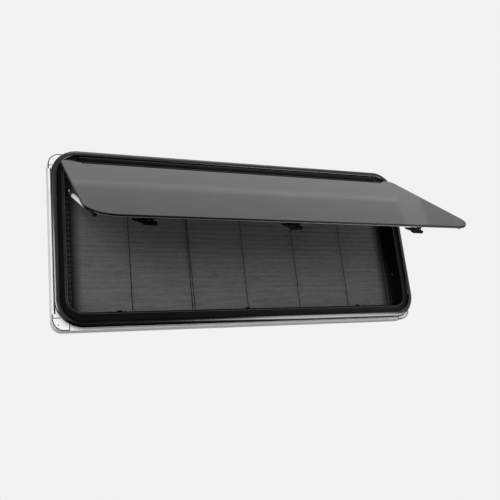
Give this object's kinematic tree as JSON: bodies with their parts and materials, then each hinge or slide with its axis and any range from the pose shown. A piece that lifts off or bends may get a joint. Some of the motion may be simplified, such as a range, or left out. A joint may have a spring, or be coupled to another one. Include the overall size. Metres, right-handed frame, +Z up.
{
  "type": "top-hung window",
  "caption": "Top-hung caravan window: an outer frame clamped to a wall panel, a double acrylic sash on telescopic stays, lever latches and a pleated blind.",
  "frame": {"origin": "middle of the wall cut-out, on the outer skin of the wall", "axes": "+X to the right seen from outside, +Y into the room, +Z up"},
  "size_m": [1.16, 0.4487, 0.51],
  "materials": {
    "frame_black": "gloss black moulding",
    "seal_rubber": "matt black rubber",
    "plug_grey": "matt grey",
    "rail_black": "black anodised",
    "small_parts_black": "satin black",
    "pane_grey": "grey tinted acrylic",
    "steel": "bright zinc plated",
    "stay_aluminium": "satin anodised",
    "clamp_white": "satin white",
    "corner_grey": "light grey",
    "guide_plastic": "dark grey",
    "blind_fabric": "coated pleated cloth",
    "blind_cord": "braided",
    "blind_aluminium": "grey coated"
  },
  "bodies": {
    "frame": {"blackout_pleats": "blind_fabric", "blind_cassette_bottom": "guide_plastic", "blind_cassette_top": "guide_plastic", "blind_cords": "blind_cord", "blind_guide_left": "guide_plastic", "blind_guide_right": "guide_plastic", "clamp_screws": "steel", "corner_screws": "steel", "drain_plugs": "plug_grey", "hinge_end_stops": "small_parts_black", "hinge_rail_fixed": "rail_black", "inner_corner_bottom_left": "corner_grey", "inner_corner_bottom_right": "corner_grey", "inner_corner_top_left": "corner_grey", "inner_corner_top_right": "corner_grey", "inner_frame_bottom": "clamp_white", "inner_frame_left": "clamp_white", "inner_frame_right": "clamp_white", "inner_frame_top": "clamp_white", "outer_frame": "frame_black", "pane_seal": "seal_rubber", "stay_bracket_frame_left": "small_parts_black", "stay_bracket_frame_right": "small_parts_black", "stay_screws": "steel", "striker_centre": "small_parts_black", "striker_left": "small_parts_black", "striker_right": "small_parts_black", "wall_seal": "seal_rubber"},
    "sash": {"hinge_rail_moving": "rail_black", "outer_pane": "pane_grey", "inner_pane": "pane_grey", "latch_base_left": "small_parts_black", "latch_base_centre": "small_parts_black", "latch_base_right": "small_parts_black", "latch_pins": "small_parts_black", "stay_bracket_pane_left": "small_parts_black", "stay_bracket_pane_right": "small_parts_black"},
    "blind_bar": {"blind_pull_bar": "blind_aluminium", "blind_bar_shoes": "small_parts_black"},
    "latch_lever_left": {"latch_lever_left": "small_parts_black"},
    "latch_lever_centre": {"latch_lever_centre": "small_parts_black"},
    "latch_lever_right": {"latch_lever_right": "small_parts_black"},
    "stay_rod_left": {"stay_rod_left": "steel"},
    "stay_tube_left": {"stay_tube_left": "stay_aluminium", "stay_collar_left": "small_parts_black", "stay_end_left": "small_parts_black"},
    "stay_rod_right": {"stay_rod_right": "steel"},
    "stay_tube_right": {"stay_tube_right": "stay_aluminium", "stay_collar_right": "small_parts_black", "stay_end_right": "small_parts_black"}
  },
  "joints": [
    {"name": "sash_hinge", "type": "hinge", "parent": "frame", "child": "sash", "pos_m": [0, -0.018, 0.2235], "axis": [1, 0, 0], "range_deg": [0, 51.2]},
    {"name": "latch_left", "type": "hinge", "parent": "sash", "child": "latch_lever_left", "pos_m": [-0.4, -0.3337, -0.0669], "axis": [0, -0.6266, 0.7793], "range_deg": [-90, 0]},
    {"name": "latch_centre", "type": "hinge", "parent": "sash", "child": "latch_lever_centre", "pos_m": [-0.012, -0.3337, -0.0669], "axis": [0, -0.6266, 0.7793], "range_deg": [-90, 0]},
    {"name": "latch_right", "type": "hinge", "parent": "sash", "child": "latch_lever_right", "pos_m": [0.376, -0.3337, -0.0669], "axis": [0, -0.6266, 0.7793], "range_deg": [-90, 0]},
    {"name": "stay_swing_left", "type": "hinge", "parent": "frame", "child": "stay_rod_left", "pos_m": [-0.529, 0.008, 0.132], "axis": [1, 0, 0], "range_deg": [0, 60.23]},
    {"name": "stay_slide_left", "type": "slide", "parent": "stay_rod_left", "child": "stay_tube_left", "axis": [0, -0.8795, -0.4758], "range_m": [-0.06066, 0]},
    {"name": "stay_swing_right", "type": "hinge", "parent": "frame", "child": "stay_rod_right", "pos_m": [0.529, 0.008, 0.132], "axis": [1, 0, 0], "range_deg": [0, 60.23]},
    {"name": "stay_slide_right", "type": "slide", "parent": "stay_rod_right", "child": "stay_tube_right", "axis": [0, -0.8795, -0.4758], "range_m": [-0.06066, 0]},
    {"name": "blind_slide", "type": "slide", "parent": "frame", "child": "blind_bar", "axis": [0, 0, 1], "range_m": [-0.37, 0], "deforming": ["blackout_pleats"]}
  ],
  "couplings": [
    {"joint": "stay_swing_left", "follows": "sash_hinge", "ratio": 1.1762},
    {"joint": "stay_slide_left", "follows": "sash_hinge", "m_per_rad": -0.067854},
    {"joint": "stay_swing_right", "follows": "sash_hinge", "ratio": 1.1762},
    {"joint": "stay_slide_right", "follows": "sash_hinge", "m_per_rad": -0.067854}
  ]
}
